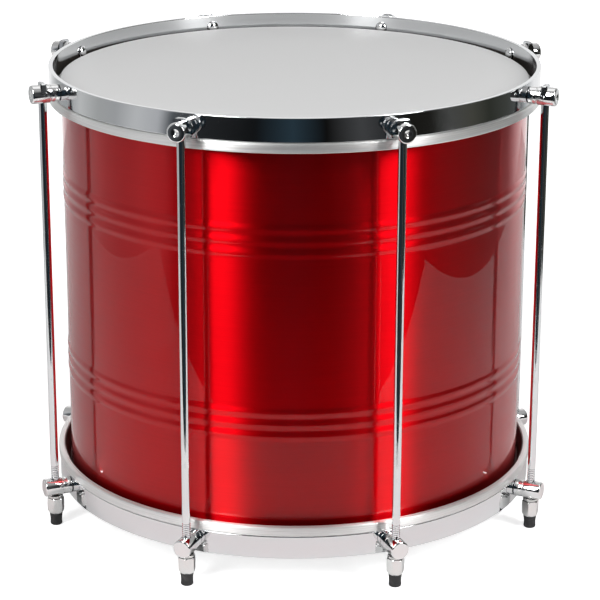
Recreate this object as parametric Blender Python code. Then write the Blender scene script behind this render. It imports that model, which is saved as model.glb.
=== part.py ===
# Repinique: a small two-headed samba drum that stands on the ends of its eight rods.
# Metres, +Z up, drum axis on Z, floor at Z = 0. The front of the drum faces -Y.

import math

import bmesh
import bpy
from mathutils import Matrix

# Driving dimensions
MM = 0.001
SHELL_RADIUS = 152.4 * MM
BODY_HEIGHT = 282.8 * MM
FOOT_CLEARANCE = 18.5 * MM
LUG_COUNT = 8
FIRST_LUG_DEG = 22.5
GAP = 0.3 * MM
RING_SEGMENTS = 48
POST_SEGMENTS = 12
SMALL_SEGMENTS = 8

# Shell of spun sheet with rolled bearing edges and two groups of raised beads
SHELL_WALL = 1.5 * MM
BEARING_ROUND = 1.5 * MM
BEAD_HEIGHT = 0.55 * MM
BEAD_PITCH = 7.7 * MM
BEADS_PER_GROUP = 3
UPPER_BEADS_BELOW_RIM = 78.2 * MM
LOWER_BEADS_ABOVE_RIM = 86.5 * MM

# Heads and hoops
HEAD_DEPTH = 8.8 * MM
FILM = 0.35 * MM
COLLAR_DEPTH = 20.6 * MM
HOOP_OUTER = 160.2 * MM
HOOP_THICK = 3.0 * MM
HOOP_HEIGHT = 15.0 * MM
HOOP_EDGE = 0.7 * MM
FLESH_OUTER = 161.0 * MM
FLESH_HEIGHT = 6.2 * MM
FLESH_WALL = 4.0 * MM
FLESH_EDGE = 0.6 * MM

# Posts, each riveted through its hoop by a tenon with a domed end inside
POST_RADIUS = 6.0 * MM
POST_END = 178.5 * MM
POST_SHOULDER = 166.4 * MM
POST_BELOW_RIM = 8.1 * MM
NECK_RADIUS = 5.6 * MM
POST_EDGE = 1.2 * MM
TENON_RADIUS = 2.0 * MM
RIVET_RADIUS = 4.2 * MM
RIVET_HEIGHT = 2.4 * MM

# Rods with a flat hammer head in the milled slot of the top post
ROD_CIRCLE = 170.7 * MM
ROD_RADIUS = 2.65 * MM
SLOT_WIDTH = 4.2 * MM
SLOT_DEPTH = 6.0 * MM
HAMMER_THICK = 2.6 * MM
HAMMER_WIDTH = 9.0 * MM
HAMMER_PROUD = 1.9 * MM
HAMMER_SEAT = 1.0 * MM

# Nut, washer and rubber tip under each bottom post
TIP_HEIGHT = 8.2 * MM
TIP_TOP = 4.35 * MM
TIP_FOOT = 4.05 * MM
NUT_HEIGHT = 10.6 * MM
NUT_FLATS = 10.0 * MM
WASHER_THICK = 1.6 * MM
WASHER_RADIUS = 5.0 * MM
BORE_RADIUS = ROD_RADIUS + GAP

RIM_TOP = FOOT_CLEARANCE + BODY_HEIGHT
TOP_POST_Z = RIM_TOP - POST_BELOW_RIM
BOTTOM_POST_Z = FOOT_CLEARANCE + POST_BELOW_RIM
NUT_BASE = TIP_HEIGHT + GAP
WASHER_BASE = NUT_BASE + NUT_HEIGHT + GAP
SPOT_FACE = WASHER_BASE + WASHER_THICK + GAP


# Materials, one for each sub-part, with the colours that the drum shows

def makeMaterial(name, colour, roughness, metallic):
    material = bpy.data.materials.new(name)
    material.use_nodes = True
    shader = material.node_tree.nodes["Principled BSDF"]
    shader.inputs["Base Color"].default_value = (*colour, 1.0)
    shader.inputs["Roughness"].default_value = roughness
    shader.inputs["Metallic"].default_value = metallic
    material.diffuse_color = (*colour, 1.0)
    return material


FINISHES = {
    "shell": ((0.62, 0.01, 0.02), 0.22, 0.8),
    "head_film": ((0.62, 0.62, 0.62), 0.5, 0.0),
    "flesh_hoop": ((0.82, 0.83, 0.84), 0.3, 1.0),
    "counterhoop": ((0.8, 0.81, 0.82), 0.08, 1.0),
    "post": ((0.8, 0.81, 0.82), 0.1, 1.0),
    "rod": ((0.78, 0.79, 0.8), 0.12, 1.0),
    "washer": ((0.7, 0.71, 0.72), 0.2, 1.0),
    "nut": ((0.75, 0.76, 0.77), 0.18, 1.0),
    "tip": ((0.02, 0.02, 0.02), 0.7, 0.0),
}


# Helpers that turn profiles and blocks into finished meshes

def clearScene():
    for item in list(bpy.data.objects):
        bpy.data.objects.remove(item, do_unlink=True)


def meshFrom(bm, name):
    bmesh.ops.remove_doubles(bm, verts=bm.verts, dist=1e-6)
    bmesh.ops.recalc_face_normals(bm, faces=bm.faces)
    mesh = bpy.data.meshes.new(name)
    bm.to_mesh(mesh)
    bm.free()
    return mesh


def shadeRound(mesh):
    mesh.shade_smooth()
    mesh.set_sharp_from_angle(angle=math.radians(32))


def lathe(name, profile, segments):
    """Spin a closed outline of (radius, height) points round Z."""
    bm = bmesh.new()
    verts = [bm.verts.new((radius, 0.0, height)) for radius, height in profile]
    edges = [bm.edges.new((verts[i], verts[(i + 1) % len(verts)])) for i in range(len(verts))]
    axisEdges = [e for e in edges if all(abs(v.co.x) < 1e-9 for v in e.verts)]
    for edge in axisEdges:
        bm.edges.remove(edge)
        edges.remove(edge)
    bmesh.ops.spin(bm, geom=verts + edges, cent=(0, 0, 0), axis=(0, 0, 1), dvec=(0, 0, 0),
                   angle=2 * math.pi, steps=segments, use_merge=True, use_duplicate=False)
    return meshFrom(bm, name)


def arc(cx, cz, radius, startDeg, endDeg, steps):
    points = []
    for i in range(steps + 1):
        angle = math.radians(startDeg + (endDeg - startDeg) * i / steps)
        points.append((cx + radius * math.cos(angle), cz + radius * math.sin(angle)))
    return points


def block(name, size, centre):
    bm = bmesh.new()
    bmesh.ops.create_cube(bm, size=1.0)
    bmesh.ops.scale(bm, vec=size, verts=bm.verts)
    bmesh.ops.translate(bm, vec=centre, verts=bm.verts)
    return meshFrom(bm, name)


def rod(name, radius, low, high, segments, matrix=Matrix.Identity(4)):
    """A plain cylinder on Z from low to high, then moved by matrix."""
    mesh = lathe(name, [(0.0, low), (radius, low), (radius, high), (0.0, high)], segments)
    mesh.transform(matrix)
    return mesh


def joined(name, meshes):
    bm = bmesh.new()
    for mesh in meshes:
        bm.from_mesh(mesh)
    result = bpy.data.meshes.new(name)
    bm.to_mesh(result)
    bm.free()
    return result


def carved(name, mesh, cuts):
    """Apply a chain of exact Booleans, each a (operation, mesh) pair, and keep the mesh."""
    body = bpy.data.objects.new(name + "_work", mesh)
    bpy.context.scene.collection.objects.link(body)
    cutters = []
    for operation, cutMesh in cuts:
        cutter = bpy.data.objects.new(name + "_cut", cutMesh)
        bpy.context.scene.collection.objects.link(cutter)
        cutter.hide_render = True
        cutter.display_type = "WIRE"
        modifier = body.modifiers.new(name + "_cut", "BOOLEAN")
        modifier.operation = operation
        modifier.solver = "EXACT"
        modifier.object = cutter
        cutters.append(cutter)
    graph = bpy.context.evaluated_depsgraph_get()
    result = bpy.data.meshes.new_from_object(body.evaluated_get(graph))
    result.name = name
    for item in cutters + [body]:
        bpy.data.objects.remove(item, do_unlink=True)
    return result


def place(name, mesh, material, parent=None, location=(0, 0, 0), turnDeg=0.0, flat=False):
    if not flat:
        shadeRound(mesh)
    mesh.materials.clear()
    mesh.materials.append(material)
    item = bpy.data.objects.new(name, mesh)
    bpy.context.scene.collection.objects.link(item)
    item.parent = parent
    item.location = location
    item.rotation_euler = (0, 0, math.radians(turnDeg))
    return item


def emptyAt(name, location, turnDeg, parent=None):
    empty = bpy.data.objects.new(name, None)
    bpy.context.scene.collection.objects.link(empty)
    empty.parent = parent
    empty.location = location
    empty.rotation_euler = (0, 0, math.radians(turnDeg))
    return empty


def mirroredHeights(profile):
    """Turn an outline measured down from the top rim into one measured up from the bottom rim."""
    return [(radius, RIM_TOP + FOOT_CLEARANCE - height) for radius, height in profile]


# Shell

def beadGroup(centre):
    """Outer wall points, top to bottom, of one group of rounded ridges."""
    points = []
    top = centre + BEAD_PITCH * BEADS_PER_GROUP / 2
    for i in range(BEADS_PER_GROUP):
        start = top - i * BEAD_PITCH
        points.append((SHELL_RADIUS, start))
        points.append((SHELL_RADIUS + BEAD_HEIGHT, start - 0.35 * BEAD_PITCH))
        points.append((SHELL_RADIUS + BEAD_HEIGHT, start - 0.65 * BEAD_PITCH))
    points.append((SHELL_RADIUS, top - BEADS_PER_GROUP * BEAD_PITCH))
    return points


def shellMesh():
    top = RIM_TOP - HEAD_DEPTH - FILM - GAP
    bottom = FOOT_CLEARANCE + HEAD_DEPTH + FILM + GAP
    bend = SHELL_RADIUS - BEARING_ROUND
    lip = bend - 3.0 * MM
    inner = SHELL_RADIUS - SHELL_WALL
    profile = [(lip, top)]
    profile += arc(bend, top - BEARING_ROUND, BEARING_ROUND, 90, 0, 2)
    profile += beadGroup(RIM_TOP - UPPER_BEADS_BELOW_RIM)
    profile += beadGroup(FOOT_CLEARANCE + LOWER_BEADS_ABOVE_RIM)
    profile += arc(bend, bottom + BEARING_ROUND, BEARING_ROUND, 0, -90, 2)
    profile += [(lip, bottom), (lip, bottom + SHELL_WALL), (inner, bottom + 2.6 * SHELL_WALL)]
    profile += [(inner, top - 2.6 * SHELL_WALL), (lip, top - SHELL_WALL)]
    return lathe("shell", profile, RING_SEGMENTS)


# Heads: film over the bearing edge with a collar that spreads to the inside of the flesh hoop

def filmProfile():
    top = RIM_TOP - HEAD_DEPTH
    bendIn = SHELL_RADIUS + GAP
    bendOut = bendIn + FILM
    spread = FLESH_OUTER - FLESH_WALL - GAP
    low = RIM_TOP - COLLAR_DEPTH
    bend = 1.1 * MM
    return [(0.0, top), (bendOut - bend, top), (bendOut, top - bend), (spread, low),
            (spread - FILM, low), (bendIn, top - FILM - 0.7 * bend),
            (bendIn - 0.7 * bend, top - FILM), (0.0, top - FILM)]


# Hoops

def bandProfile(inner, outer, high, low, edge):
    return [(inner + edge, high), (outer - edge, high), (outer, high - edge), (outer, low + edge),
            (outer - edge, low), (inner + edge, low), (inner, low + edge), (inner, high - edge)]


def lugAngles():
    return [FIRST_LUG_DEG + i * 360.0 / LUG_COUNT for i in range(LUG_COUNT)]


def radialMatrix(angleDeg, height):
    """Take local Z to the outward direction at a lug, at the given height."""
    turn = Matrix.Rotation(math.radians(angleDeg), 4, "Z")
    tip = Matrix.Rotation(math.radians(90), 4, "X")
    return Matrix.Translation((0, 0, height)) @ turn @ tip


def counterhoopMesh(name, high, postHeight):
    profile = bandProfile(HOOP_OUTER - HOOP_THICK, HOOP_OUTER, high, high - HOOP_HEIGHT, HOOP_EDGE)
    ring = lathe(name, profile, RING_SEGMENTS)
    low = HOOP_OUTER - 2 * HOOP_THICK
    high = HOOP_OUTER + HOOP_THICK
    holes = [rod("hole", TENON_RADIUS + GAP, low, high, 8, radialMatrix(a, postHeight))
             for a in lugAngles()]
    return carved(name, ring, [("DIFFERENCE", joined("holes", holes))])


def fleshHoopMesh(name, high):
    inner = FLESH_OUTER - FLESH_WALL
    low = high - FLESH_HEIGHT
    profile = [(inner, high), (FLESH_OUTER - FLESH_EDGE, high), (FLESH_OUTER, high - FLESH_EDGE),
               (FLESH_OUTER, low + FLESH_EDGE), (FLESH_OUTER - FLESH_EDGE, low), (inner, low)]
    return lathe(name, profile, RING_SEGMENTS)


# Posts: turned from bar, with a tenon through the hoop that is peened over inside

def postBlank(name):
    face = HOOP_OUTER + GAP
    seat = HOOP_OUTER - HOOP_THICK - GAP
    mid = 0.3 * POST_EDGE
    profile = [(0.0, POST_END), (POST_RADIUS - POST_EDGE, POST_END),
               (POST_RADIUS - mid, POST_END - mid), (POST_RADIUS, POST_END - POST_EDGE),
               (POST_RADIUS, POST_SHOULDER), (NECK_RADIUS, POST_SHOULDER), (NECK_RADIUS, face),
               (TENON_RADIUS, face), (TENON_RADIUS, seat), (RIVET_RADIUS, seat),
               (0.75 * RIVET_RADIUS, seat - 0.6 * RIVET_HEIGHT), (0.0, seat - RIVET_HEIGHT)]
    return lathe(name, profile, POST_SEGMENTS)


def sideways(mesh, height):
    """Lay a shape turned on Z along -Y, the outward direction of a lug at the front."""
    mesh.transform(radialMatrix(0.0, height))
    return mesh


def slotCutter(height):
    """A milled slot across the post: straight walls down to a round floor."""
    half = SLOT_WIDTH / 2
    reach = POST_RADIUS + 2 * MM
    floor = height + POST_RADIUS - SLOT_DEPTH
    outline = arc(-ROD_CIRCLE, floor + half, half, 180, 360, 4)
    outline += [(-ROD_CIRCLE + half, height + reach), (-ROD_CIRCLE - half, height + reach)]
    bm = bmesh.new()
    face = bm.faces.new([bm.verts.new((-reach, y, z)) for y, z in outline])
    extruded = bmesh.ops.extrude_face_region(bm, geom=[face])["geom"]
    moved = [v for v in extruded if isinstance(v, bmesh.types.BMVert)]
    bmesh.ops.translate(bm, vec=(2 * reach, 0, 0), verts=moved)
    return meshFrom(bm, "slot")


def rodHole(height):
    reach = 2 * POST_RADIUS
    shift = Matrix.Translation((0, -ROD_CIRCLE, 0))
    return rod("rod_hole", BORE_RADIUS, height - reach, height + reach, SMALL_SEGMENTS, shift)


def topPostMesh():
    blank = sideways(postBlank("top_post"), TOP_POST_Z)
    cuts = [("DIFFERENCE", slotCutter(TOP_POST_Z)), ("DIFFERENCE", rodHole(TOP_POST_Z))]
    return carved("top_post", blank, cuts)


def bottomPostMesh():
    blank = sideways(postBlank("bottom_post"), BOTTOM_POST_Z)
    shift = Matrix.Translation((0, -ROD_CIRCLE, 0))
    face = rod("spot", WASHER_RADIUS + GAP, BOTTOM_POST_Z - 3 * POST_RADIUS, SPOT_FACE, POST_SEGMENTS, shift)
    return carved("bottom_post", blank, [("DIFFERENCE", rodHole(BOTTOM_POST_Z)), ("DIFFERENCE", face)])


# Rods: a round shank and a flat hammer head, rounded on top and at its corners

def rodMesh():
    low = 0.3 * TIP_HEIGHT + GAP
    edge = 0.5 * MM
    half = HAMMER_THICK / 2
    seat = TOP_POST_Z + POST_RADIUS - SLOT_DEPTH + HAMMER_SEAT
    domeCentre = TOP_POST_Z + POST_RADIUS + HAMMER_PROUD - half
    profile = [(0.0, low), (ROD_RADIUS - edge, low), (ROD_RADIUS, low + edge),
               (ROD_RADIUS, seat + edge), (0.0, seat + edge)]
    shank = lathe("rod", profile, SMALL_SEGMENTS + 2)
    slab = block("slab", (HAMMER_WIDTH, HAMMER_THICK, domeCentre - seat), (0, 0, (domeCentre + seat) / 2))
    across = Matrix.Rotation(math.radians(90), 4, "Y")
    dome = rod("dome", half, -HAMMER_WIDTH / 2, HAMMER_WIDTH / 2, SMALL_SEGMENTS,
               Matrix.Translation((0, 0, domeCentre)) @ across)
    along = Matrix.Rotation(math.radians(90), 4, "X")
    barrel = rod("barrel", POST_RADIUS + HAMMER_PROUD + 0.15 * MM, -HAMMER_THICK, HAMMER_THICK, 24,
                 Matrix.Translation((0, 0, TOP_POST_Z)) @ along)
    head = carved("head", slab, [("UNION", dome), ("INTERSECT", barrel)])
    return carved("rod", shank, [("UNION", head)])


# Nut, washer and tip, all on the rod's axis

def nutMesh():
    corner = NUT_FLATS / math.sqrt(3)
    hexagon = [(corner * math.cos(math.radians(60 * i)), corner * math.sin(math.radians(60 * i)))
               for i in range(6)]
    bm = bmesh.new()
    face = bm.faces.new([bm.verts.new((x, y, NUT_BASE)) for x, y in hexagon])
    extruded = bmesh.ops.extrude_face_region(bm, geom=[face])["geom"]
    moved = [v for v in extruded if isinstance(v, bmesh.types.BMVert)]
    bmesh.ops.translate(bm, vec=(0, 0, NUT_HEIGHT), verts=moved)
    prism = meshFrom(bm, "nut")
    top = NUT_BASE + NUT_HEIGHT
    envelope = lathe("envelope", [(0.0, NUT_BASE - 1 * MM), (corner - 2.0 * MM, NUT_BASE - 1 * MM),
                                  (corner - 1.5 * MM, NUT_BASE), (corner + 0.1 * MM, NUT_BASE + 2.0 * MM),
                                  (corner + 0.1 * MM, top - 0.5 * MM), (corner - 0.5 * MM, top),
                                  (corner - 0.8 * MM, top + 1 * MM), (0.0, top + 1 * MM)], 12)
    bore = rod("bore", BORE_RADIUS, NUT_BASE - 1 * MM, top + 1 * MM, SMALL_SEGMENTS + 2)
    return carved("nut", prism, [("INTERSECT", envelope), ("DIFFERENCE", bore)])


def washerMesh():
    high = WASHER_BASE + WASHER_THICK
    edge = 0.4 * MM
    profile = [(BORE_RADIUS, high), (WASHER_RADIUS, high), (WASHER_RADIUS, WASHER_BASE + edge),
               (WASHER_RADIUS - edge, WASHER_BASE), (BORE_RADIUS, WASHER_BASE)]
    return lathe("washer", profile, SMALL_SEGMENTS)


def tipMesh():
    bore = BORE_RADIUS
    depth = 0.3 * TIP_HEIGHT
    edge = 0.6 * MM
    profile = [(0.0, 0.0), (TIP_FOOT - edge, 0.0), (TIP_FOOT, edge), (TIP_FOOT - 0.15 * MM, 3.4 * MM),
               (TIP_TOP, TIP_HEIGHT), (bore, TIP_HEIGHT), (bore, depth), (0.0, depth)]
    return lathe("tip", profile, SMALL_SEGMENTS)


# Assembly

def buildDrum():
    clearScene()
    finish = {name: makeMaterial(name, *values) for name, values in FINISHES.items()}
    drum = emptyAt("drum_axis", (0, 0, 0), 0.0)

    place("shell", shellMesh(), finish["shell"], drum)
    top = filmProfile()
    place("top_head_film", lathe("top_film", top, RING_SEGMENTS), finish["head_film"], drum)
    bottom = mirroredHeights(top)
    place("bottom_head_film", lathe("bottom_film", bottom, RING_SEGMENTS), finish["head_film"], drum)

    fleshTop = RIM_TOP - HOOP_HEIGHT - GAP
    fleshLow = FOOT_CLEARANCE + HOOP_HEIGHT + GAP + FLESH_HEIGHT
    place("top_flesh_hoop", fleshHoopMesh("top_flesh", fleshTop), finish["flesh_hoop"], drum)
    place("bottom_flesh_hoop", fleshHoopMesh("low_flesh", fleshLow), finish["flesh_hoop"], drum)
    upper = counterhoopMesh("top_hoop", RIM_TOP, TOP_POST_Z)
    place("top_counterhoop", upper, finish["counterhoop"], drum)
    lower = counterhoopMesh("bottom_hoop", FOOT_CLEARANCE + HOOP_HEIGHT, BOTTOM_POST_Z)
    place("bottom_counterhoop", lower, finish["counterhoop"], drum)

    topPost = topPostMesh()
    bottomPost = bottomPostMesh()
    rodShape = rodMesh()
    nutShape = nutMesh()
    washerShape = washerMesh()
    tipShape = tipMesh()
    for i, angle in enumerate(lugAngles(), start=1):
        lug = emptyAt("lug_%d" % i, (0, 0, 0), angle, drum)
        place("top_post_%d" % i, topPost, finish["post"], lug)
        place("bottom_post_%d" % i, bottomPost, finish["post"], lug)
        line = emptyAt("rod_line_%d" % i, (0, -ROD_CIRCLE, 0), 0.0, lug)
        place("tension_rod_%d" % i, rodShape, finish["rod"], line)
        place("seat_washer_%d" % i, washerShape, finish["washer"], line)
        place("rubber_tip_%d" % i, tipShape, finish["tip"], line)
        place("tension_nut_%d" % i, nutShape, finish["nut"], line, turnDeg=17.0 * i)


buildDrum()
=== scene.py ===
# Repinique, dressed for its studio picture.
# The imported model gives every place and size; this file gives the finish.
import math

import bmesh
import bpy
from mathutils import Matrix, Vector


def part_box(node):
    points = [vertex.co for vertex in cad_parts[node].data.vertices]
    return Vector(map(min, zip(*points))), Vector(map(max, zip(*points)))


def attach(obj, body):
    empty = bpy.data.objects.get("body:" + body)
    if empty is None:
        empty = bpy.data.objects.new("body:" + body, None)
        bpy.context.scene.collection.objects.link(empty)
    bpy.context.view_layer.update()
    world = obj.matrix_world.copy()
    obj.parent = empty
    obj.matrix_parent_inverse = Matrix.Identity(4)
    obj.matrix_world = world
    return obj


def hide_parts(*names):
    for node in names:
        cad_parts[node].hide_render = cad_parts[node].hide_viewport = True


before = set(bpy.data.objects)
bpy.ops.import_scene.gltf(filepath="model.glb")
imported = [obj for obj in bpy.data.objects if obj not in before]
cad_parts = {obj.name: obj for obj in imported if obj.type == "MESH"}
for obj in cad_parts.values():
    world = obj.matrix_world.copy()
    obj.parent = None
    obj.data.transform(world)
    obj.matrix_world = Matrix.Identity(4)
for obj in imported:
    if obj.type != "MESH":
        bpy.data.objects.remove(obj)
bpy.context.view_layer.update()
mm = 0.001
clearance = 0.3 * mm  # what the model leaves between two pieces


# Places read from the frame

def nodeBox(name):
    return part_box(name)


hoopHigh = nodeBox("top_counterhoop")[1]
rimTop = hoopHigh.z
hoopOuter = hoopHigh.x
lowRim = nodeBox("bottom_counterhoop")[0].z
filmLow, filmHigh = nodeBox("top_head_film")
collarLow = filmLow.z
filmTop = filmHigh.z
collarOuter = filmHigh.x
lowFilmLow = nodeBox("bottom_head_film")[0].z
shellLow, shellHigh = nodeBox("shell")
beadCrest = shellHigh.x
lugs = []  # number, angle from the camera's side, radius
for number in range(1, 9):
    low, high = nodeBox("tension_nut_%d" % number)
    middle = (low + high) / 2
    lugs.append((number, math.atan2(middle.x, -middle.y), math.hypot(middle.x, middle.y)))
rodCircle = sum(lug[2] for lug in lugs) / len(lugs)


# Mesh helpers

def turned(profile, steps, closed=True):
    # spins a closed outline of (radius, height) points round Z
    bm = bmesh.new()
    verts = [bm.verts.new((radius, 0, height)) for radius, height in profile]
    pairs = list(zip(verts, verts[1:] + verts[:1])) if closed else list(zip(verts, verts[1:]))
    edges = []
    for start, end in pairs:
        if start.co.x > 1e-7 or end.co.x > 1e-7:
            edges.append(bm.edges.new((start, end)))
    bmesh.ops.spin(bm, geom=verts + edges, cent=(0, 0, 0), axis=(0, 0, 1), dvec=(0, 0, 0),
                   angle=2 * math.pi, steps=steps, use_merge=True, use_duplicate=False)
    bmesh.ops.remove_doubles(bm, verts=bm.verts, dist=1e-6)
    bmesh.ops.recalc_face_normals(bm, faces=bm.faces)
    return bm


def softened(points, radius, steps=3):
    # rounds the corners of a closed outline, by one radius or one for each corner
    result = []
    count = len(points)
    radii = radius if isinstance(radius, (list, tuple)) else [radius] * count
    for i, here in enumerate(points):
        radius = radii[i]
        before = Vector(points[i - 1])
        corner = Vector(here)
        after = Vector(points[(i + 1) % count])
        toBefore = before - corner
        toAfter = after - corner
        reach = min(radius, 0.45 * toBefore.length, 0.45 * toAfter.length)
        flat = toBefore.length < 1e-9 or toAfter.length < 1e-9 or toBefore.angle(toAfter) > 2.9
        if corner.x < 1e-7 or flat:
            result.append((corner.x, corner.y))
            continue
        start = corner + toBefore.normalized() * reach
        end = corner + toAfter.normalized() * reach
        for k in range(steps + 1):
            t = k / steps
            point = start * (1 - t) ** 2 + corner * 2 * t * (1 - t) + end * t ** 2
            result.append((point.x, point.y))
    return result


def finished(name, bm, material, body, slotName, *replaced, sharp=32):
    mesh = bpy.data.meshes.new(name)
    bm.to_mesh(mesh)
    bm.free()
    mesh.shade_smooth()
    mesh.set_sharp_from_angle(angle=math.radians(sharp))
    mesh.materials.append(material)
    piece = bpy.data.objects.new(name, mesh)
    bpy.context.scene.collection.objects.link(piece)
    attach(piece, body)
    if replaced:
        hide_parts(*replaced)
    return piece


def transformed(bm, matrix):
    copy = bm.copy()
    bmesh.ops.transform(copy, matrix=matrix, verts=copy.verts)
    return copy


def lugMatrix(angle, x=0.0, y=0.0, z=0.0):
    # from a lug's own place, where outward is -Y, to the lug's angle on the drum
    return Matrix.Rotation(angle, 4, "Z") @ Matrix.Translation((x, y, z))


def cutWith(bm, operations):
    # exact Booleans on temporary objects; gives a new bmesh
    scene = bpy.context.scene
    made = []

    def temporary(shape):
        mesh = bpy.data.meshes.new("blank")
        shape.to_mesh(mesh)
        shape.free()
        item = bpy.data.objects.new("blank", mesh)
        scene.collection.objects.link(item)
        made.append(item)
        return item

    body = temporary(bm)
    for operation, tool in operations:
        modifier = body.modifiers.new("cut", "BOOLEAN")
        modifier.operation = operation
        modifier.solver = "EXACT"
        modifier.object = temporary(tool)
    graph = bpy.context.evaluated_depsgraph_get()
    result = bmesh.new()
    result.from_object(body, graph)
    for item in made:
        bpy.data.objects.remove(item, do_unlink=True)
    bmesh.ops.remove_doubles(result, verts=result.verts, dist=1e-7)
    return result


# Shader groups

def newGroup(name, inputs, outputs):
    group = bpy.data.node_groups.new(name, "ShaderNodeTree")
    for label, kind, value in inputs:
        socket = group.interface.new_socket(name=label, in_out="INPUT", socket_type=kind)
        if value is not None:
            socket.default_value = value
    for label, kind in outputs:
        group.interface.new_socket(name=label, in_out="OUTPUT", socket_type=kind)
    entry = group.nodes.new("NodeGroupInput")
    result = group.nodes.new("NodeGroupOutput")
    return group, entry, result


def mathNode(tree, operation, first, second=None):
    node = tree.nodes.new("ShaderNodeMath")
    node.operation = operation
    for index, value in enumerate((first, second)):
        if value is None:
            continue
        if isinstance(value, (int, float)):
            node.inputs[index].default_value = value
        else:
            tree.links.new(value, node.inputs[index])
    return node.outputs[0]


def rangeNode(tree, value, low, high, toLow, toHigh):
    node = tree.nodes.new("ShaderNodeMapRange")
    tree.links.new(value, node.inputs["Value"])
    node.inputs["From Min"].default_value = low
    node.inputs["From Max"].default_value = high
    node.inputs["To Min"].default_value = toLow
    node.inputs["To Max"].default_value = toHigh
    return node.outputs["Result"]


groupForm = {"wrapRadius": 0.155, "patchScale": 14.0, "smearFrom": 0.52, "smearTo": 0.75,
             "speckScale": 420.0, "speckSize": 0.12}


def buildAroundGroup():
    # coordinates wrapped round Z: (arc length, height, radius) in metres
    inputs = [("Vector", "NodeSocketVector", None)]
    group, entry, result = newGroup("wrapRound", inputs, [("Wrapped", "NodeSocketVector")])
    split = group.nodes.new("ShaderNodeSeparateXYZ")
    group.links.new(entry.outputs["Vector"], split.inputs[0])
    angle = mathNode(group, "ARCTAN2", split.outputs["Y"], split.outputs["X"])
    arcLength = mathNode(group, "MULTIPLY", angle, groupForm["wrapRadius"])
    squareX = mathNode(group, "MULTIPLY", split.outputs["X"], split.outputs["X"])
    squareY = mathNode(group, "MULTIPLY", split.outputs["Y"], split.outputs["Y"])
    radius = mathNode(group, "SQRT", mathNode(group, "ADD", squareX, squareY))
    join = group.nodes.new("ShaderNodeCombineXYZ")
    group.links.new(arcLength, join.inputs["X"])
    group.links.new(split.outputs["Z"], join.inputs["Y"])
    group.links.new(radius, join.inputs["Z"])
    group.links.new(join.outputs[0], result.inputs["Wrapped"])
    return group


def buildBrushGroup():
    # fine lines drawn out along one axis of the given coordinates
    inputs = [("Vector", "NodeSocketVector", None),
              ("Stretch", "NodeSocketVector", (8.0, 900.0, 900.0))]
    outputs = [("Lines", "NodeSocketFloat"), ("Patches", "NodeSocketFloat")]
    group, entry, result = newGroup("brushedLines", inputs, outputs)
    scale = group.nodes.new("ShaderNodeVectorMath")
    scale.operation = "MULTIPLY"
    group.links.new(entry.outputs["Vector"], scale.inputs[0])
    group.links.new(entry.outputs["Stretch"], scale.inputs[1])
    lines = group.nodes.new("ShaderNodeTexNoise")
    lines.inputs["Scale"].default_value = 1.0
    lines.inputs["Detail"].default_value = 4.0
    group.links.new(scale.outputs[0], lines.inputs["Vector"])
    patches = group.nodes.new("ShaderNodeTexNoise")
    patches.inputs["Scale"].default_value = groupForm["patchScale"]
    patches.inputs["Detail"].default_value = 2.0
    group.links.new(entry.outputs["Vector"], patches.inputs["Vector"])
    group.links.new(lines.outputs["Fac"], result.inputs["Lines"])
    group.links.new(patches.outputs["Fac"], result.inputs["Patches"])
    return group


def buildHandlingGroup():
    # faint smears and specks that handling leaves on bright metal
    inputs = [("Vector", "NodeSocketVector", None), ("Size", "NodeSocketFloat", 60.0)]
    outputs = [("Smears", "NodeSocketFloat"), ("Specks", "NodeSocketFloat")]
    group, entry, result = newGroup("handlingMarks", inputs, outputs)
    smear = group.nodes.new("ShaderNodeTexNoise")
    smear.inputs["Detail"].default_value = 5.0
    smear.inputs["Distortion"].default_value = 0.6
    group.links.new(entry.outputs["Vector"], smear.inputs["Vector"])
    group.links.new(entry.outputs["Size"], smear.inputs["Scale"])
    smears = rangeNode(group, smear.outputs["Fac"], groupForm["smearFrom"], groupForm["smearTo"], 0.0, 1.0)
    group.links.new(smears, result.inputs["Smears"])
    speck = group.nodes.new("ShaderNodeTexVoronoi")
    speck.inputs["Scale"].default_value = groupForm["speckScale"]
    group.links.new(entry.outputs["Vector"], speck.inputs["Vector"])
    specks = rangeNode(group, speck.outputs["Distance"], 0.0, groupForm["speckSize"], 1.0, 0.0)
    group.links.new(specks, result.inputs["Specks"])
    return group


wrapRound = buildAroundGroup()
brushedLines = buildBrushGroup()
handlingMarks = buildHandlingGroup()
print("shader groups ready")


# Materials

def startMaterial(name, baseColour, roughness, metallic):
    material = bpy.data.materials.new(name)
    material.use_nodes = True
    tree = material.node_tree
    shader = tree.nodes["Principled BSDF"]
    shader.inputs["Base Color"].default_value = (*baseColour, 1)
    shader.inputs["Roughness"].default_value = roughness
    shader.inputs["Metallic"].default_value = metallic
    place = tree.nodes.new("ShaderNodeTexCoord")
    return material, tree, shader, place.outputs["Object"]


def placeGroup(tree, group, vector, **values):
    node = tree.nodes.new("ShaderNodeGroup")
    node.node_tree = group
    tree.links.new(vector, node.inputs["Vector"])
    for label, value in values.items():
        node.inputs[label].default_value = value
    return node


def bumpFrom(tree, shader, height, strength, distance):
    bump = tree.nodes.new("ShaderNodeBump")
    bump.inputs["Strength"].default_value = strength
    bump.inputs["Distance"].default_value = distance
    tree.links.new(height, bump.inputs["Height"])
    tree.links.new(bump.outputs["Normal"], shader.inputs["Normal"])
    return bump


def mixColours(tree, factor, first, second):
    node = tree.nodes.new("ShaderNodeMix")
    node.data_type = "RGBA"
    tree.links.new(factor, node.inputs["Factor"])
    node.inputs["A"].default_value = (*first, 1)
    node.inputs["B"].default_value = (*second, 1)
    return node.outputs["Result"]


def addNoise(tree, place, scale, detail):
    noise = tree.nodes.new("ShaderNodeTexNoise")
    noise.inputs["Scale"].default_value = scale
    noise.inputs["Detail"].default_value = detail
    tree.links.new(place, noise.inputs["Vector"])
    return noise.outputs["Fac"]


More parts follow.
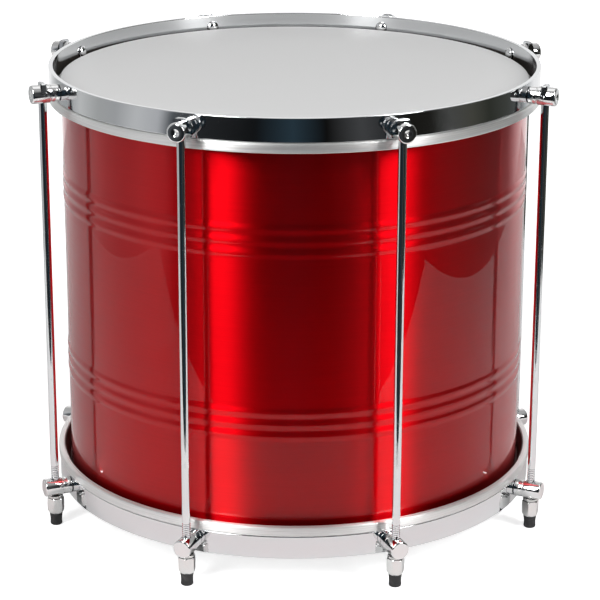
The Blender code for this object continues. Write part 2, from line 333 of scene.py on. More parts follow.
def grainAround(tree, shader, strength):
    # lines that run round the drum spread the light up and down
    shader.inputs["Anisotropic"].default_value = strength
    shader.inputs["Anisotropic Rotation"].default_value = 0.25
    around = tree.nodes.new("ShaderNodeTangent")
    around.direction_type = "RADIAL"
    around.axis = "Z"
    tree.links.new(around.outputs["Tangent"], shader.inputs["Tangent"])


lacquer = {"deep": (0.49, 0.0008, 0.0034), "bright": (0.57, 0.0013, 0.0048), "roughness": 0.375,
           "spread": 0.02, "grain": 1.0, "stretch": (24.0, 2600.0, 30.0), "bump": 0.02,
           "bumpDepth": 0.0001, "coatRoughness": 0.015, "coatIor": 1.33}
# colour, roughness where clean and where smeared, and how fine the marks are
platings = {"hoopChrome": ((0.71, 0.72, 0.73), 0.045, 0.16, 40.0),
            "postChrome": ((0.80, 0.80, 0.80), 0.05, 0.14, 160.0),
            "rodChrome": ((0.76, 0.77, 0.78), 0.07, 0.2, 120.0),
            "nutPlate": ((0.78, 0.78, 0.77), 0.14, 0.26, 200.0),
            "washerSteel": ((0.62, 0.62, 0.61), 0.2, 0.34, 200.0)}
ripple = {"scale": 90.0, "bump": 0.06, "bumpDepth": 0.0003, "speckShade": 0.86}
aluminium = {"colour": (0.87, 0.87, 0.86), "roughness": 0.42, "spread": 0.08, "metallic": 0.85,
             "grain": 0.9, "stretch": (18.0, 1800.0, 1800.0), "lineShade": 0.84, "bump": 0.12,
             "bumpDepth": 0.0001}
# the film's collar colour is painted shade: the dark of the gap between the shell and the flesh hoop
# the film's edge colour is painted light: a lift near the hoop against the shade the hoop casts on the film
film = {"middle": (0.625, 0.625, 0.625), "edge": (0.64, 0.64, 0.64), "collar": (0.055, 0.045, 0.038),
        "shadowLiftFrom": 0.120, "shadowLiftTo": 0.152, "collarShadeFrom": 0.1531, "collarShadeTo": 0.1534,
        "specular": 0.2, "toothScale": 1500.0, "bump": 0.2, "bumpDepth": 0.0001}
rubber = {"colour": (0.016, 0.016, 0.017), "dust": (0.05, 0.05, 0.05), "roughness": 0.62,
          "markSize": 220.0, "grainScale": 2400.0, "bump": 0.4, "bumpDepth": 0.0002}


def makeLacquer():
    # candy red over spun metal: the metal's fine lines run round the shell under a smooth clear coat
    material, tree, shader, place = startMaterial("redLacquer", lacquer["bright"],
                                                  lacquer["roughness"], 1.0)
    wrapped = placeGroup(tree, wrapRound, place).outputs["Wrapped"]
    brush = placeGroup(tree, brushedLines, wrapped, Stretch=lacquer["stretch"])
    lines = brush.outputs["Lines"]
    cloud = rangeNode(tree, brush.outputs["Patches"], 0.3, 0.7, 0.35, 0.65)
    tone = mathNode(tree, "ADD", cloud, rangeNode(tree, lines, 0.3, 0.7, -0.3, 0.3))
    tree.links.new(mixColours(tree, tone, lacquer["deep"], lacquer["bright"]), shader.inputs["Base Color"])
    rough = rangeNode(tree, lines, 0.3, 0.7, lacquer["roughness"] - lacquer["spread"],
                      lacquer["roughness"] + lacquer["spread"])
    tree.links.new(rough, shader.inputs["Roughness"])
    bumpFrom(tree, shader, lines, lacquer["bump"], lacquer["bumpDepth"])
    grainAround(tree, shader, lacquer["grain"])
    shader.inputs["Coat Weight"].default_value = 1.0
    shader.inputs["Coat Roughness"].default_value = lacquer["coatRoughness"]
    shader.inputs["Coat IOR"].default_value = lacquer["coatIor"]
    return material


def makePlating(name):
    # bright plating that isn't quite flat, with faint smears and specks
    colour, clean, smeared, size = platings[name]
    material, tree, shader, place = startMaterial(name, colour, clean, 1.0)
    marks = placeGroup(tree, handlingMarks, place, Size=size)
    rough = rangeNode(tree, marks.outputs["Smears"], 0.0, 1.0, clean, smeared)
    tree.links.new(rough, shader.inputs["Roughness"])
    darker = tuple(ripple["speckShade"] * value for value in colour)
    tree.links.new(mixColours(tree, marks.outputs["Specks"], colour, darker), shader.inputs["Base Color"])
    wave = addNoise(tree, place, ripple["scale"], 1.0)
    bumpFrom(tree, shader, wave, ripple["bump"], ripple["bumpDepth"])
    return material


def makeAluminium():
    # satin, brushed round the hoop
    material, tree, shader, place = startMaterial("brushedAluminium", aluminium["colour"],
                                                  aluminium["roughness"], aluminium["metallic"])
    wrapped = placeGroup(tree, wrapRound, place).outputs["Wrapped"]
    lines = placeGroup(tree, brushedLines, wrapped, Stretch=aluminium["stretch"]).outputs["Lines"]
    rough = rangeNode(tree, lines, 0.3, 0.7, aluminium["roughness"] - aluminium["spread"],
                      aluminium["roughness"] + aluminium["spread"])
    tree.links.new(rough, shader.inputs["Roughness"])
    darker = tuple(aluminium["lineShade"] * value for value in aluminium["colour"])
    shade = rangeNode(tree, lines, 0.35, 0.65, 0.0, 1.0)
    tree.links.new(mixColours(tree, shade, darker, aluminium["colour"]), shader.inputs["Base Color"])
    bumpFrom(tree, shader, lines, aluminium["bump"], aluminium["bumpDepth"])
    grainAround(tree, shader, aluminium["grain"])
    return material


def makeFilm():
    # milky film: painted light makes it a shade lighter near the hoop, against the shade the hoop casts on
    # it, with a fine even tooth; painted shade makes its collar dark in the gap between the shell and the
    # flesh hoop
    material, tree, shader, place = startMaterial("milkyFilm", film["middle"], 0.5, 0.0)
    shader.inputs["Specular IOR Level"].default_value = film["specular"]
    wrapped = placeGroup(tree, wrapRound, place).outputs["Wrapped"]
    split = tree.nodes.new("ShaderNodeSeparateXYZ")
    tree.links.new(wrapped, split.inputs[0])
    radius = split.outputs["Z"]
    # painted light: the film is mixed a shade lighter towards the hoop, to lift the hoop's shade on it
    edge = rangeNode(tree, radius, film["shadowLiftFrom"], film["shadowLiftTo"], 0.0, 1.0)
    plain = mixColours(tree, edge, film["middle"], film["edge"])
    # painted shade: the collar, down in the gap between the shell and the flesh hoop, is mixed to a dark
    # brown
    gapShade = rangeNode(tree, radius, film["collarShadeFrom"], film["collarShadeTo"], 0.0, 1.0)
    collar = tree.nodes.new("ShaderNodeMix")
    collar.data_type = "RGBA"
    tree.links.new(gapShade, collar.inputs["Factor"])
    tree.links.new(plain, collar.inputs["A"])
    collar.inputs["B"].default_value = (*film["collar"], 1)
    tree.links.new(collar.outputs["Result"], shader.inputs["Base Color"])
    tooth = addNoise(tree, place, film["toothScale"], 3.0)
    tree.links.new(rangeNode(tree, tooth, 0.3, 0.7, 0.42, 0.56), shader.inputs["Roughness"])
    bumpFrom(tree, shader, tooth, film["bump"], film["bumpDepth"])
    return material


def makeRubber():
    material, tree, shader, place = startMaterial("blackRubber", rubber["colour"],
                                                  rubber["roughness"], 0.0)
    marks = placeGroup(tree, handlingMarks, place, Size=rubber["markSize"])
    dusty = mixColours(tree, marks.outputs["Smears"], rubber["colour"], rubber["dust"])
    tree.links.new(dusty, shader.inputs["Base Color"])
    grain = addNoise(tree, place, rubber["grainScale"], 2.0)
    tree.links.new(rangeNode(tree, grain, 0.3, 0.7, 0.5, 0.75), shader.inputs["Roughness"])
    bumpFrom(tree, shader, grain, rubber["bump"], rubber["bumpDepth"])
    return material


redLacquer = makeLacquer()
hoopChrome = makePlating("hoopChrome")
postChrome = makePlating("postChrome")
rodChrome = makePlating("rodChrome")
nutPlate = makePlating("nutPlate")
washerSteel = makePlating("washerSteel")
bareAluminium = makeAluminium()
milkyFilm = makeFilm()
blackRubber = makeRubber()
print("materials ready")


# Shell with rolled bearing edges and two groups of raised beads

shellForm = {"wall": 1.5 * mm, "lip": 4.5 * mm, "round": 1.5 * mm, "beadPitch": 7.7 * mm,
             "beadHeight": 0.55 * mm, "upperBelowRim": 78.2 * mm, "lowerAboveRim": 86.5 * mm,
             "beads": 3, "beadPoints": 12, "support": 0.5 * mm, "turnPoints": 6, "lipTaper": 2.6,
             "steps": 192}


def beadLine(centre, outer):
    # raised cosines, with a support point either side so that the plain wall keeps its own shade
    form = shellForm
    top = centre + form["beads"] * form["beadPitch"] / 2
    foot = top - form["beads"] * form["beadPitch"]
    points = [(outer, top + form["support"])]
    for k in range(form["beads"] * form["beadPoints"] + 1):
        t = k / form["beadPoints"]
        rise = form["beadHeight"] * (0.5 - 0.5 * math.cos(2 * math.pi * t))
        points.append((outer + rise, top - t * form["beadPitch"]))
    points.append((outer, foot - form["support"]))
    return points


def makeShell():
    form = shellForm
    outer = beadCrest - form["beadHeight"]
    top, bottom = shellHigh.z, shellLow.z
    turn = form["round"]
    lip = outer - form["lip"]
    inner = outer - form["wall"]
    taper = form["lipTaper"] * form["wall"]
    quarter = [math.radians(90 * k / form["turnPoints"]) for k in range(form["turnPoints"] + 1)]
    profile = [(lip, top)]
    profile += [(outer - turn + turn * math.sin(angle), top - turn + turn * math.cos(angle))
                for angle in quarter]
    profile.append((outer, top - turn - 0.4 * mm))
    profile += beadLine(rimTop - form["upperBelowRim"], outer)
    profile += beadLine(lowRim + form["lowerAboveRim"], outer)
    profile.append((outer, bottom + turn + 0.4 * mm))
    profile += [(outer - turn + turn * math.cos(angle), bottom + turn - turn * math.sin(angle))
                for angle in quarter]
    profile += [(lip, bottom), (lip, bottom + form["wall"]), (inner, bottom + taper)]
    profile += [(inner, top - taper), (lip, top - form["wall"])]
    finished("lacquered_shell", turned(profile, form["steps"]), redLacquer, "drum", "red_lacquer",
             "shell", sharp=50)


makeShell()
print("shell made")


# Heads: taut film over the bearing edge, with a collar that spreads to the flesh hoop

headForm = {"film": 0.35 * mm, "bend": 1.3 * mm, "bendPoints": 5, "bearing": 153.05 * mm, "steps": 192}


def makeHead(name, top, low, flip):
    outer = headForm["bearing"]
    film = headForm["film"]
    bend = headForm["bend"]
    profile = [(0, top), (outer / 3, top), (outer * 2 / 3, top), (outer - bend, top)]
    for k in range(1, headForm["bendPoints"] + 1):
        angle = math.radians(90 - 90 * k / headForm["bendPoints"])
        profile.append((outer - bend + bend * math.cos(angle), top - bend + bend * math.sin(angle)))
    profile += [(collarOuter, low), (collarOuter - film, low), (outer - film, top - bend)]
    profile += [(outer - bend, top - film), (0, top - film)]
    if flip:
        profile = [(radius, flip - height) for radius, height in profile]
    finished(name, turned(profile, headForm["steps"]), milkyFilm, "drum", "head_film",
             "bottom_head_film" if flip else "top_head_film")


makeHead("playing_head", filmTop, collarLow, None)
makeHead("lower_head", filmTop, collarLow, filmTop + lowFilmLow)
print("heads made")


# Hoops

hoopForm = {"steps": 192, "edge": 0.5 * mm, "thick": 3.0 * mm, "fleshEdge": 0.8 * mm,
            "fleshRound": 1.3 * mm}


def barRound(node, inner, radii, cornerSteps):
    # a bar of square section, from the given inner radius to the node's own outside
    low, high = nodeBox(node)
    square = [(inner, high.z), (high.x, high.z), (high.x, low.z), (inner, low.z)]
    return turned(softened(square, radii, cornerSteps), hoopForm["steps"])


def makeCounterhoop(name, node):
    bar = barRound(node, hoopOuter - hoopForm["thick"], hoopForm["edge"], 4)
    finished(name, bar, hoopChrome, "drum", "bright_chrome", node)


def makeFleshHoop(name, node):
    radii = [hoopForm["fleshEdge"], hoopForm["fleshRound"], hoopForm["fleshRound"], hoopForm["fleshEdge"]]
    bar = barRound(node, collarOuter + clearance, radii, 6)
    finished(name, bar, bareAluminium, "drum", "bare_aluminium", node, sharp=60)


makeCounterhoop("top_hoop", "top_counterhoop")
makeCounterhoop("bottom_hoop", "bottom_counterhoop")
makeFleshHoop("top_flesh_ring", "top_flesh_hoop")
makeFleshHoop("bottom_flesh_ring", "bottom_flesh_hoop")
print("hoops made")


# Posts, turned from bar and peened through the hoop

postForm = {"radius": 6.0 * mm, "end": 178.35 * mm, "shoulder": 166.4 * mm, "neck": 5.6 * mm,
            "edge": 1.25 * mm, "dish": 2.5 * mm, "topHollow": 0.9 * mm, "lowHollow": 0.15 * mm,
            "groove": 0.3 * mm, "grooveLong": 0.9 * mm, "tenon": 2.0 * mm, "rivet": 4.2 * mm,
            "rivetHeight": 2.4 * mm, "rivetDome": ((0.93, 0.4), (0.7, 0.74), (0.4, 0.93), (0, 1)),
            "drillMark": 0.45 * mm, "drillEdge": 0.85 * mm, "slotWidth": 4.2 * mm,
            "slotDepth": 6.0 * mm, "bore": 2.95 * mm, "spot": 5.3 * mm, "steps": 48}
topPostHeight = (nodeBox("top_post_1")[0].z + nodeBox("top_post_1")[1].z) / 2
lowPostHeight = nodeBox("bottom_post_1")[1].z - postForm["radius"]
washerTop = nodeBox("seat_washer_1")[1].z


def postBlank(height, hollow):
    # hollow is how deep the turning has left the middle of the post's end
    form = postForm
    end = form["end"]
    mouth = form["shoulder"]
    waist = form["neck"] - form["groove"]
    face = hoopOuter + clearance
    seat = hoopOuter - hoopForm["thick"] - clearance
    outline = [(0, end - hollow), (form["drillMark"], end - 0.9 * hollow),
               (form["drillEdge"], end - 0.55 * hollow), (0.6 * form["dish"], end - 0.42 * hollow),
               (form["dish"], end), (form["radius"], end), (form["radius"], mouth), (waist, mouth),
               (waist, mouth - form["grooveLong"]), (form["neck"], mouth - form["grooveLong"]),
               (form["neck"], face), (form["tenon"], face), (form["tenon"], seat), (form["rivet"], seat)]
    outline += [(wide * form["rivet"], seat - tall * form["rivetHeight"]) for wide, tall in form["rivetDome"]]
    radii = [0.3 * mm] * len(outline)
    radii[outline.index((form["radius"], end))] = form["edge"]
    bm = turned(softened(outline, radii, 4), form["steps"])
    lay = Matrix.Translation((0, 0, height)) @ Matrix.Rotation(math.radians(90), 4, "X")
    bmesh.ops.transform(bm, matrix=lay, verts=bm.verts)
    return bm


def drawnOut(bm, vector):
    # extrudes a flat outline into a closed block
    grown = bmesh.ops.extrude_face_region(bm, geom=bm.faces[:])["geom"]
    moved = [item for item in grown if isinstance(item, bmesh.types.BMVert)]
    bmesh.ops.translate(bm, vec=vector, verts=moved)
    bmesh.ops.recalc_face_normals(bm, faces=bm.faces)
    return bm


def cylinderAt(radius, low, high, y, steps=32):
    bm = bmesh.new()
    ring = bmesh.ops.create_circle(bm, cap_ends=True, segments=steps, radius=radius)
    bmesh.ops.translate(bm, vec=(0, y, low), verts=ring["verts"])
    return drawnOut(bm, (0, 0, high - low))


def slotTool():
    # a milled slot: round floor, straight walls, open at the top
    form = postForm
    half = form["slotWidth"] / 2
    floor = topPostHeight + form["radius"] - form["slotDepth"]
    reach = form["radius"] + 2 * mm
    bm = bmesh.new()
    rim = []
    for k in range(13):
        angle = math.radians(180 + 15 * k)
        rim.append(bm.verts.new((-reach, -rodCircle + half * math.cos(angle),
                                 floor + half + half * math.sin(angle))))
    rim.append(bm.verts.new((-reach, -rodCircle + half, topPostHeight + reach)))
    rim.append(bm.verts.new((-reach, -rodCircle - half, topPostHeight + reach)))
    bm.faces.new(rim)
    return drawnOut(bm, (2 * reach, 0, 0))


def makePosts():
    form = postForm
    reach = 2 * form["radius"]
    hole = cylinderAt(form["bore"], topPostHeight - reach, topPostHeight + reach, -rodCircle)
    blank = postBlank(topPostHeight, form["topHollow"])
    top = cutWith(blank, [("DIFFERENCE", slotTool()), ("DIFFERENCE", hole)])
    hole = cylinderAt(form["bore"], lowPostHeight - reach, lowPostHeight + reach, -rodCircle)
    spot = cylinderAt(form["spot"], lowPostHeight - reach, washerTop + clearance, -rodCircle)
    blank = postBlank(lowPostHeight, form["lowHollow"])
    bottom = cutWith(blank, [("DIFFERENCE", hole), ("DIFFERENCE", spot)])
    for number, angle, _ in lugs:
        turn = lugMatrix(angle)
        finished("slotted_post_%d" % number, transformed(top, turn), postChrome, "drum", "turned_chrome",
                 "top_post_%d" % number)
        finished("drilled_post_%d" % number, transformed(bottom, turn), postChrome, "drum",
                 "turned_chrome", "bottom_post_%d" % number)
    top.free()
    bottom.free()


makePosts()
print("posts made")


# Rods with a hammer head above and rolled thread below

rodForm = {"radius": 2.65 * mm, "threadFrom": 22.0 * mm, "threadTo": 42.0 * mm, "pitch": 1.25 * mm,
           "crest": 0.4, "rootFrom": 0.58, "rootTo": 0.85, "depth": 0.5 * mm, "chamfer": 0.5 * mm,
           "headWide": 9.0 * mm, "headThick": 2.6 * mm, "headSeat": 1.0 * mm, "steps": 32}
rodLow = nodeBox("tension_rod_1")[0].z
rodHigh = nodeBox("tension_rod_1")[1].z


def rodShank(top):
    # the thread is rings rather than a helix, which looks the same at this size
    form = rodForm
    radius = form["radius"]
    root = radius - form["depth"]
    outline = [(0, rodLow), (radius - form["chamfer"], rodLow), (radius, rodLow + form["chamfer"])]
    turns = int(round((form["threadTo"] - form["threadFrom"]) / form["pitch"]))
    for k in range(turns):
        start = form["threadFrom"] + k * form["pitch"]
        outline += [(radius, start), (radius, start + form["crest"] * form["pitch"]),
                    (root, start + form["rootFrom"] * form["pitch"]),
                    (root, start + form["rootTo"] * form["pitch"])]
    outline += [(radius, form["threadTo"]), (radius, top), (0, top)]
    return turned(outline, form["steps"])


def hammerHead(seat):
    # a flat head with a round back, cut to the post's own round on top
    form = rodForm
    half = form["headThick"] / 2
    domeCentre = rodHigh - half
    slab = bmesh.new()
    bmesh.ops.create_cube(slab, size=1.0)
    bmesh.ops.scale(slab, vec=(form["headWide"], form["headThick"], domeCentre - seat), verts=slab.verts)
    bmesh.ops.translate(slab, vec=(0, 0, (domeCentre + seat) / 2), verts=slab.verts)
    dome = cylinderAt(half, -form["headWide"] / 2, form["headWide"] / 2, 0, 24)
    across = Matrix.Translation((0, 0, domeCentre)) @ Matrix.Rotation(math.radians(90), 4, "Y")
    bmesh.ops.transform(dome, matrix=across, verts=dome.verts)
    barrel = cylinderAt(rodHigh - topPostHeight + 0.02 * mm, -form["headThick"], form["headThick"], 0, 96)
    along = Matrix.Translation((0, 0, topPostHeight)) @ Matrix.Rotation(math.radians(90), 4, "X")
    bmesh.ops.transform(barrel, matrix=along, verts=barrel.verts)
    return cutWith(slab, [("UNION", dome), ("INTERSECT", barrel)])


def makeRods():
    seat = topPostHeight + postForm["radius"] - postForm["slotDepth"] + rodForm["headSeat"]
    whole = cutWith(rodShank(seat + rodForm["chamfer"]), [("UNION", hammerHead(seat))])
    for number, angle, _ in lugs:
        turn = lugMatrix(angle, y=-rodCircle)
        finished("hammer_head_rod_%d" % number, transformed(whole, turn), rodChrome, "drum",
                 "rod_plating", "tension_rod_%d" % number, sharp=28)
    whole.free()


makeRods()
print("rods made")


# Nuts, washers and tips

nutForm = {"flats": 10.0 * mm, "bore": 2.95 * mm, "sides": 6, "perSide": 12, "coneLow": 4.35 * mm,
           "coneSpread": 1.5 * mm, "coneRise": 2.1 * mm, "coneLevels": 6, "topFrom": 5.82 * mm,
           "topInset": 0.6 * mm, "topRise": 0.6 * mm, "topLevels": 3, "turnDeg": 17.0}
washerForm = {"radius": 5.0 * mm, "edge": 0.35 * mm, "steps": 40}
tipForm = {"side": ((3.4, 0), (4.05, 0.7), (3.95, 2.0), (3.85, 3.6), (3.95, 5.4), (4.22, 7.4)),
           "mouth": 4.32 * mm, "floorShare": 0.3, "edge": 0.35 * mm, "steps": 40}
nutLow = nodeBox("tension_nut_1")[0].z
nutHigh = nodeBox("tension_nut_1")[1].z


def hexReach(angle):
    side = 2 * math.pi / nutForm["sides"]
    return nutForm["flats"] / 2 / math.cos((angle + side / 2) % side - side / 2)


def nextRing(bm, edges, height, reach):
    # extrudes the last ring and puts the new one at a height, with a reach for each angle
    grown = bmesh.ops.extrude_edge_only(bm, edges=edges)["geom"]
    for vert in [item for item in grown if isinstance(item, bmesh.types.BMVert)]:
        angle = math.atan2(vert.co.y, vert.co.x)
        radius = reach(angle)
        vert.co = (radius * math.cos(angle), radius * math.sin(angle), height)
    return [item for item in grown if isinstance(item, bmesh.types.BMEdge)]


def makeNuts():
    # rings stacked up the nut; each corner is cut back by the cone that chamfers it
    form = nutForm
    levels = []
    for k in range(form["coneLevels"] + 1):
        share = k / form["coneLevels"]
        levels.append((nutLow + share * form["coneRise"], form["coneLow"] + share * form["coneSpread"]))
    for k in range(form["topLevels"] + 1):
        share = k / form["topLevels"]
        levels.append((nutHigh - (1 - share) * form["topRise"], form["topFrom"] - share * form["topInset"]))
    count = form["sides"] * form["perSide"]
    bm = bmesh.new()
    ring = bmesh.ops.create_circle(bm, cap_ends=False, segments=count, radius=form["bore"])["verts"]
    edges = bm.edges[:]
    for height, cone in levels:
        edges = nextRing(bm, edges, height, lambda angle: min(hexReach(angle), cone))
    for vert in ring:
        vert.co.z = nutLow
    for height in (nutHigh, nutLow):
        edges = nextRing(bm, edges, height, lambda angle: form["bore"])
    bmesh.ops.remove_doubles(bm, verts=bm.verts, dist=1e-6)
    bmesh.ops.recalc_face_normals(bm, faces=bm.faces)
    for number, angle, _ in lugs:
        spun = Matrix.Rotation(math.radians(form["turnDeg"] * number), 4, "Z")
        turn = lugMatrix(angle, y=-rodCircle) @ spun
        finished("hex_nut_%d" % number, transformed(bm, turn), nutPlate, "nut_%d" % number,
                 "nut_plating", "tension_nut_%d" % number, sharp=24)
    bm.free()


def makeWashersAndTips():
    low, high = nodeBox("seat_washer_1")
    bore = nutForm["bore"]
    outer = washerForm["radius"]
    washer = softened([(bore, high.z), (outer, high.z), (outer, low.z), (bore, low.z)], washerForm["edge"])
    tipHigh = nodeBox("rubber_tip_1")[1].z
    floor = tipForm["floorShare"] * tipHigh
    tip = [(0, 0)] + [(radius * mm, height * mm) for radius, height in tipForm["side"]]
    tip += [(tipForm["mouth"], tipHigh), (bore, tipHigh), (bore, floor), (0, floor)]
    washerShape = turned(washer, washerForm["steps"])
    tipShape = turned(softened(tip, tipForm["edge"]), tipForm["steps"])
    for number, angle, _ in lugs:
        turn = lugMatrix(angle, y=-rodCircle)
        finished("washer_%d" % number, transformed(washerShape, turn), washerSteel, "drum",
                 "washer_steel", "seat_washer_%d" % number)
        finished("black_tip_%d" % number, transformed(tipShape, turn), blackRubber, "drum",
                 "black_rubber", "rubber_tip_%d" % number, sharp=40)
    washerShape.free()
    tipShape.free()


makeNuts()
makeWashersAndTips()
print("nuts, washers and tips made")


# Studio: pale floor, white surround, two tall soft lights and one overhead.
# Reflections see dark cards on the camera's side, as bright metal is lit in a studio.

studio = {"floorSize": 14.0, "floorBack": 3.0, "floorHeight": -0.0002, "fill": 0.09,
          "floorColour": (0.88, 0.88, 0.88), "floorGlow": 0.72, "glowFrom": 0.6, "glowTo": 1.5,
          "tableLeft": -0.745, "tableRight": 0.69, "tableFront": -0.38, "tableBack": 0.9,
          "tableHeight": -0.0001, "cardOut": 5.0, "cardHeight": 0.0006, "overhead": (0.45, 0.45, 0.45),
          "overheadFrom": 0.45, "overheadTo": 0.85}
# angle from the camera's side, distance, height, width, height of the light and its power
softBoxes = {"leftSoftBox": (-36.6, 1.9, 1.52, 0.58, 1.44, 38.0),
             "rightSoftBox": (52.5, 1.9, 1.52, 0.58, 1.44, 38.0),
             "topSoftBox": (180.0, 0.5, 2.3, 1.4, 1.4, 4.0)}
softBoxAim = (0, 0, 0.15)
cameraPlace = {"distance": 1541.2 * mm, "pitchDeg": 18.32, "turnDeg": 0.6, "rollDeg": 0.12,
               "target": 136.2 * mm, "focalPixels": 2281.5, "imagePixels": 600.0, "shiftPixels": 5.8,
               "sensor": 36.0}
# what a reflection meets, by angle from the camera's side, left negative
surround = [(-180, (1.0, 1.0, 1.0)), (-152, (1.0, 1.0, 1.0)), (-136, (0.45, 0.46, 0.46)),
            (-122, (0.38, 0.40, 0.41)), (-110, (0.62, 0.63, 0.63)), (-96, (0.44, 0.45, 0.45)),
            (-84, (0.42, 0.43, 0.44)), (-72, (0.60, 0.61, 0.62)), (-60, (0.50, 0.51, 0.53)),
            (-54, (0.10, 0.11, 0.12)), (-40, (0.022, 0.024, 0.026)), (-16, (0.008, 0.009, 0.010)),
            (0, (0.024, 0.044, 0.060)), (14, (0.006, 0.006, 0.006)), (29, (0.065, 0.067, 0.070)),
            (40, (0.030, 0.032, 0.034)), (52, (0.012, 0.012, 0.010)), (62, (0.016, 0.016, 0.014)),
            (72, (0.077, 0.079, 0.076)), (84, (0.070, 0.070, 0.058)), (96, (0.034, 0.037, 0.030)),
            (110, (0.060, 0.064, 0.058)), (122, (0.10, 0.11, 0.11)), (130, (0.55, 0.57, 0.58)),
            (140, (1.0, 1.0, 1.0)), (180, (1.0, 1.0, 1.0))]


def buildSurroundGroup():
    inputs = [("Vector", "NodeSocketVector", None)]
    group, entry, result = newGroup("studioRound", inputs, [("Shade", "NodeSocketColor")])
    split = group.nodes.new("ShaderNodeSeparateXYZ")
    group.links.new(entry.outputs["Vector"], split.inputs[0])
    towards = mathNode(group, "MULTIPLY", split.outputs["Y"], -1.0)
    angle = mathNode(group, "ARCTAN2", split.outputs["X"], towards)
    turn = rangeNode(group, angle, -math.pi, math.pi, 0.0, 1.0)
    ramp = group.nodes.new("ShaderNodeValToRGB")
    group.links.new(turn, ramp.inputs["Fac"])
    stops = ramp.color_ramp.elements
    while len(stops) < len(surround):
        stops.new(0.5)
    for stop, (degrees, colour) in zip(stops, surround):
        stop.position = degrees / 360 + 0.5
        stop.color = (*colour, 1)
    group.links.new(ramp.outputs["Color"], result.inputs["Shade"])
    return group


studioRound = buildSurroundGroup()


def stageMaterial(name):
    material = bpy.data.materials.new(name)
    material.use_nodes = True
    tree = material.node_tree
    shader = tree.nodes["Principled BSDF"]
    shader.inputs["Roughness"].default_value = 0.9
    shader.inputs["Specular IOR Level"].default_value = 0.0
    return material, tree, shader, tree.nodes["Material Output"].inputs["Surface"]


def stagePiece(name, bm, material):
    mesh = bpy.data.meshes.new(name)
    bm.to_mesh(mesh)
    bm.free()
    mesh.materials.append(material)
    piece = bpy.data.objects.new(name, mesh)
    bpy.context.scene.collection.objects.link(piece)
    return piece


def whiteRays(tree):
    # the rays that see the white background: the camera's, and those from metal and glass
    rays = tree.nodes.new("ShaderNodeLightPath")
    bounced = mathNode(tree, "MAXIMUM", rays.outputs["Is Glossy Ray"],
                       rays.outputs["Is Transmission Ray"])
    return mathNode(tree, "MAXIMUM", rays.outputs["Is Camera Ray"], bounced), rays


def makeFloor():
    # the floor's own shade and shadow, lifted to white, and wholly white further off
    bm = bmesh.new()
    bmesh.ops.create_grid(bm, x_segments=1, y_segments=1, size=studio["floorSize"] / 2)
    bmesh.ops.translate(bm, vec=(0, studio["floorBack"], studio["floorHeight"]), verts=bm.verts)
    material, tree, shader, output = stageMaterial("paleFloor")
    material.cycles.emission_sampling = "NONE"
    shader.inputs["Base Color"].default_value = (*studio["floorColour"], 1)
    place = tree.nodes.new("ShaderNodeTexCoord")
    away = tree.nodes.new("ShaderNodeVectorMath")
    away.operation = "LENGTH"
    tree.links.new(place.outputs["Object"], away.inputs[0])
    lift = rangeNode(tree, away.outputs["Value"], studio["glowFrom"], studio["glowTo"],
                     studio["floorGlow"], 1.0)
    white, _ = whiteRays(tree)
    glow = tree.nodes.new("ShaderNodeEmission")
    tree.links.new(mathNode(tree, "MULTIPLY", white, lift), glow.inputs["Strength"])
    both = tree.nodes.new("ShaderNodeAddShader")
    tree.links.new(shader.outputs[0], both.inputs[0])
    tree.links.new(glow.outputs[0], both.inputs[1])
    tree.links.new(both.outputs[0], output)
    stagePiece("floor", bm, material)


def onlyMirrored(piece):
    piece.visible_camera = False
    piece.visible_diffuse = False
    piece.visible_transmission = False
    piece.visible_shadow = False


def makeTable():
    # the pale table top that the metal reflects, lit and shaded as the floor is
    bm = bmesh.new()
    bmesh.ops.create_grid(bm, x_segments=1, y_segments=1, size=0.5)
    wide = studio["tableRight"] - studio["tableLeft"]
    deep = studio["tableBack"] - studio["tableFront"]
    bmesh.ops.scale(bm, vec=(wide, deep, 1), verts=bm.verts)
    middle = (studio["tableLeft"] + wide / 2, studio["tableFront"] + deep / 2, studio["tableHeight"])
    bmesh.ops.translate(bm, vec=middle, verts=bm.verts)
    material, tree, shader, output = stageMaterial("paleTable")
    shader.inputs["Base Color"].default_value = (*studio["floorColour"], 1)
    onlyMirrored(stagePiece("table_top", bm, material))


def makeCard():
    # dark cards lie round the pale table top; only reflections see them
    reach = studio["cardOut"]
    table = [studio["table" + side] for side in ("Left", "Right", "Front", "Back")]
    bm = bmesh.new()
    edges = []
    for left, right, front, back in ((-reach, reach, -reach, reach), table):
        corners = ((left, front), (right, front), (right, back), (left, back))
        loop = [bm.verts.new((x, y, studio["cardHeight"])) for x, y in corners]
        edges += [bm.edges.new((loop[i - 1], loop[i])) for i in range(4)]
    bmesh.ops.bridge_loops(bm, edges=edges)
    material, tree, shader, output = stageMaterial("reflectionCard")
    place = tree.nodes.new("ShaderNodeTexCoord")
    shade = placeGroup(tree, studioRound, place.outputs["Object"]).outputs["Shade"]
    glow = tree.nodes.new("ShaderNodeEmission")
    tree.links.new(shade, glow.inputs["Color"])
    tree.links.new(glow.outputs[0], output)
    onlyMirrored(stagePiece("reflection_card", bm, material))


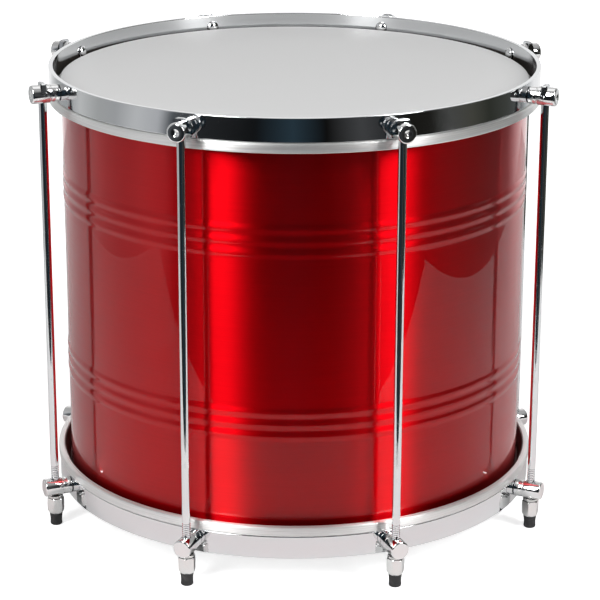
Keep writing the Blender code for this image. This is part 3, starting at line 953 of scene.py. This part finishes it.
def makeWorld():
    # white, with dark cards on the camera's side and a grey ceiling that only reflections see
    world = bpy.data.worlds.new("studio")
    bpy.context.scene.world = world
    world.use_nodes = True
    tree = world.node_tree
    place = tree.nodes.new("ShaderNodeTexCoord")
    shade = placeGroup(tree, studioRound, place.outputs["Generated"]).outputs["Shade"]
    split = tree.nodes.new("ShaderNodeSeparateXYZ")
    tree.links.new(place.outputs["Generated"], split.inputs[0])
    above = rangeNode(tree, split.outputs["Z"], studio["overheadFrom"], studio["overheadTo"], 0.0, 1.0)
    mix = tree.nodes.new("ShaderNodeMix")
    mix.data_type = "RGBA"
    tree.links.new(above, mix.inputs["Factor"])
    tree.links.new(shade, mix.inputs["A"])
    mix.inputs["B"].default_value = (*studio["overhead"], 1)
    white, rays = whiteRays(tree)
    mirrored = tree.nodes["Background"]
    tree.links.new(mix.outputs["Result"], mirrored.inputs["Color"])
    plain = tree.nodes.new("ShaderNodeBackground")
    level = rangeNode(tree, white, 0.0, 1.0, studio["fill"], 1.0)
    tree.links.new(level, plain.inputs["Strength"])
    plain.inputs["Color"].default_value = (1, 1, 1, 1)
    choose = tree.nodes.new("ShaderNodeMixShader")
    tree.links.new(rays.outputs["Is Glossy Ray"], choose.inputs["Fac"])
    tree.links.new(plain.outputs[0], choose.inputs[1])
    tree.links.new(mirrored.outputs[0], choose.inputs[2])
    tree.links.new(choose.outputs[0], tree.nodes["World Output"].inputs["Surface"])


def makeSoftBox(name):
    angleDeg, distance, height, wide, tall, power = softBoxes[name]
    light = bpy.data.lights.new(name, "AREA")
    light.shape = "RECTANGLE"
    light.size = wide
    light.size_y = tall
    light.energy = power
    angle = math.radians(angleDeg)
    item = bpy.data.objects.new(name, light)
    bpy.context.scene.collection.objects.link(item)
    item.location = (distance * math.sin(angle), -distance * math.cos(angle), height)
    aim = Vector(softBoxAim) - item.location
    item.rotation_euler = aim.to_track_quat("-Z", "Y").to_euler()


def makeCamera():
    view = cameraPlace
    data = bpy.data.cameras.new("studioCamera")
    data.sensor_width = view["sensor"]
    data.lens = view["sensor"] * view["focalPixels"] / view["imagePixels"]
    data.shift_x = view["shiftPixels"] / view["imagePixels"]
    camera = bpy.data.objects.new("studioCamera", data)
    bpy.context.scene.collection.objects.link(camera)
    pitch = math.radians(view["pitchDeg"])
    turn = math.radians(view["turnDeg"])
    flat = view["distance"] * math.cos(pitch)
    camera.location = (flat * math.sin(turn), -flat * math.cos(turn),
                       view["target"] + view["distance"] * math.sin(pitch))
    aim = Vector((0, 0, view["target"])) - camera.location
    roll = Matrix.Rotation(math.radians(view["rollDeg"]), 3, "Z")
    camera.rotation_euler = (aim.to_track_quat("-Z", "Y").to_matrix() @ roll).to_euler()
    bpy.context.scene.camera = camera


makeFloor()
makeTable()
makeCard()
makeWorld()
for name in softBoxes:
    makeSoftBox(name)
makeCamera()
bpy.context.scene.view_settings.view_transform = "Standard"
print("studio ready")

bpy.context.view_layer.update()
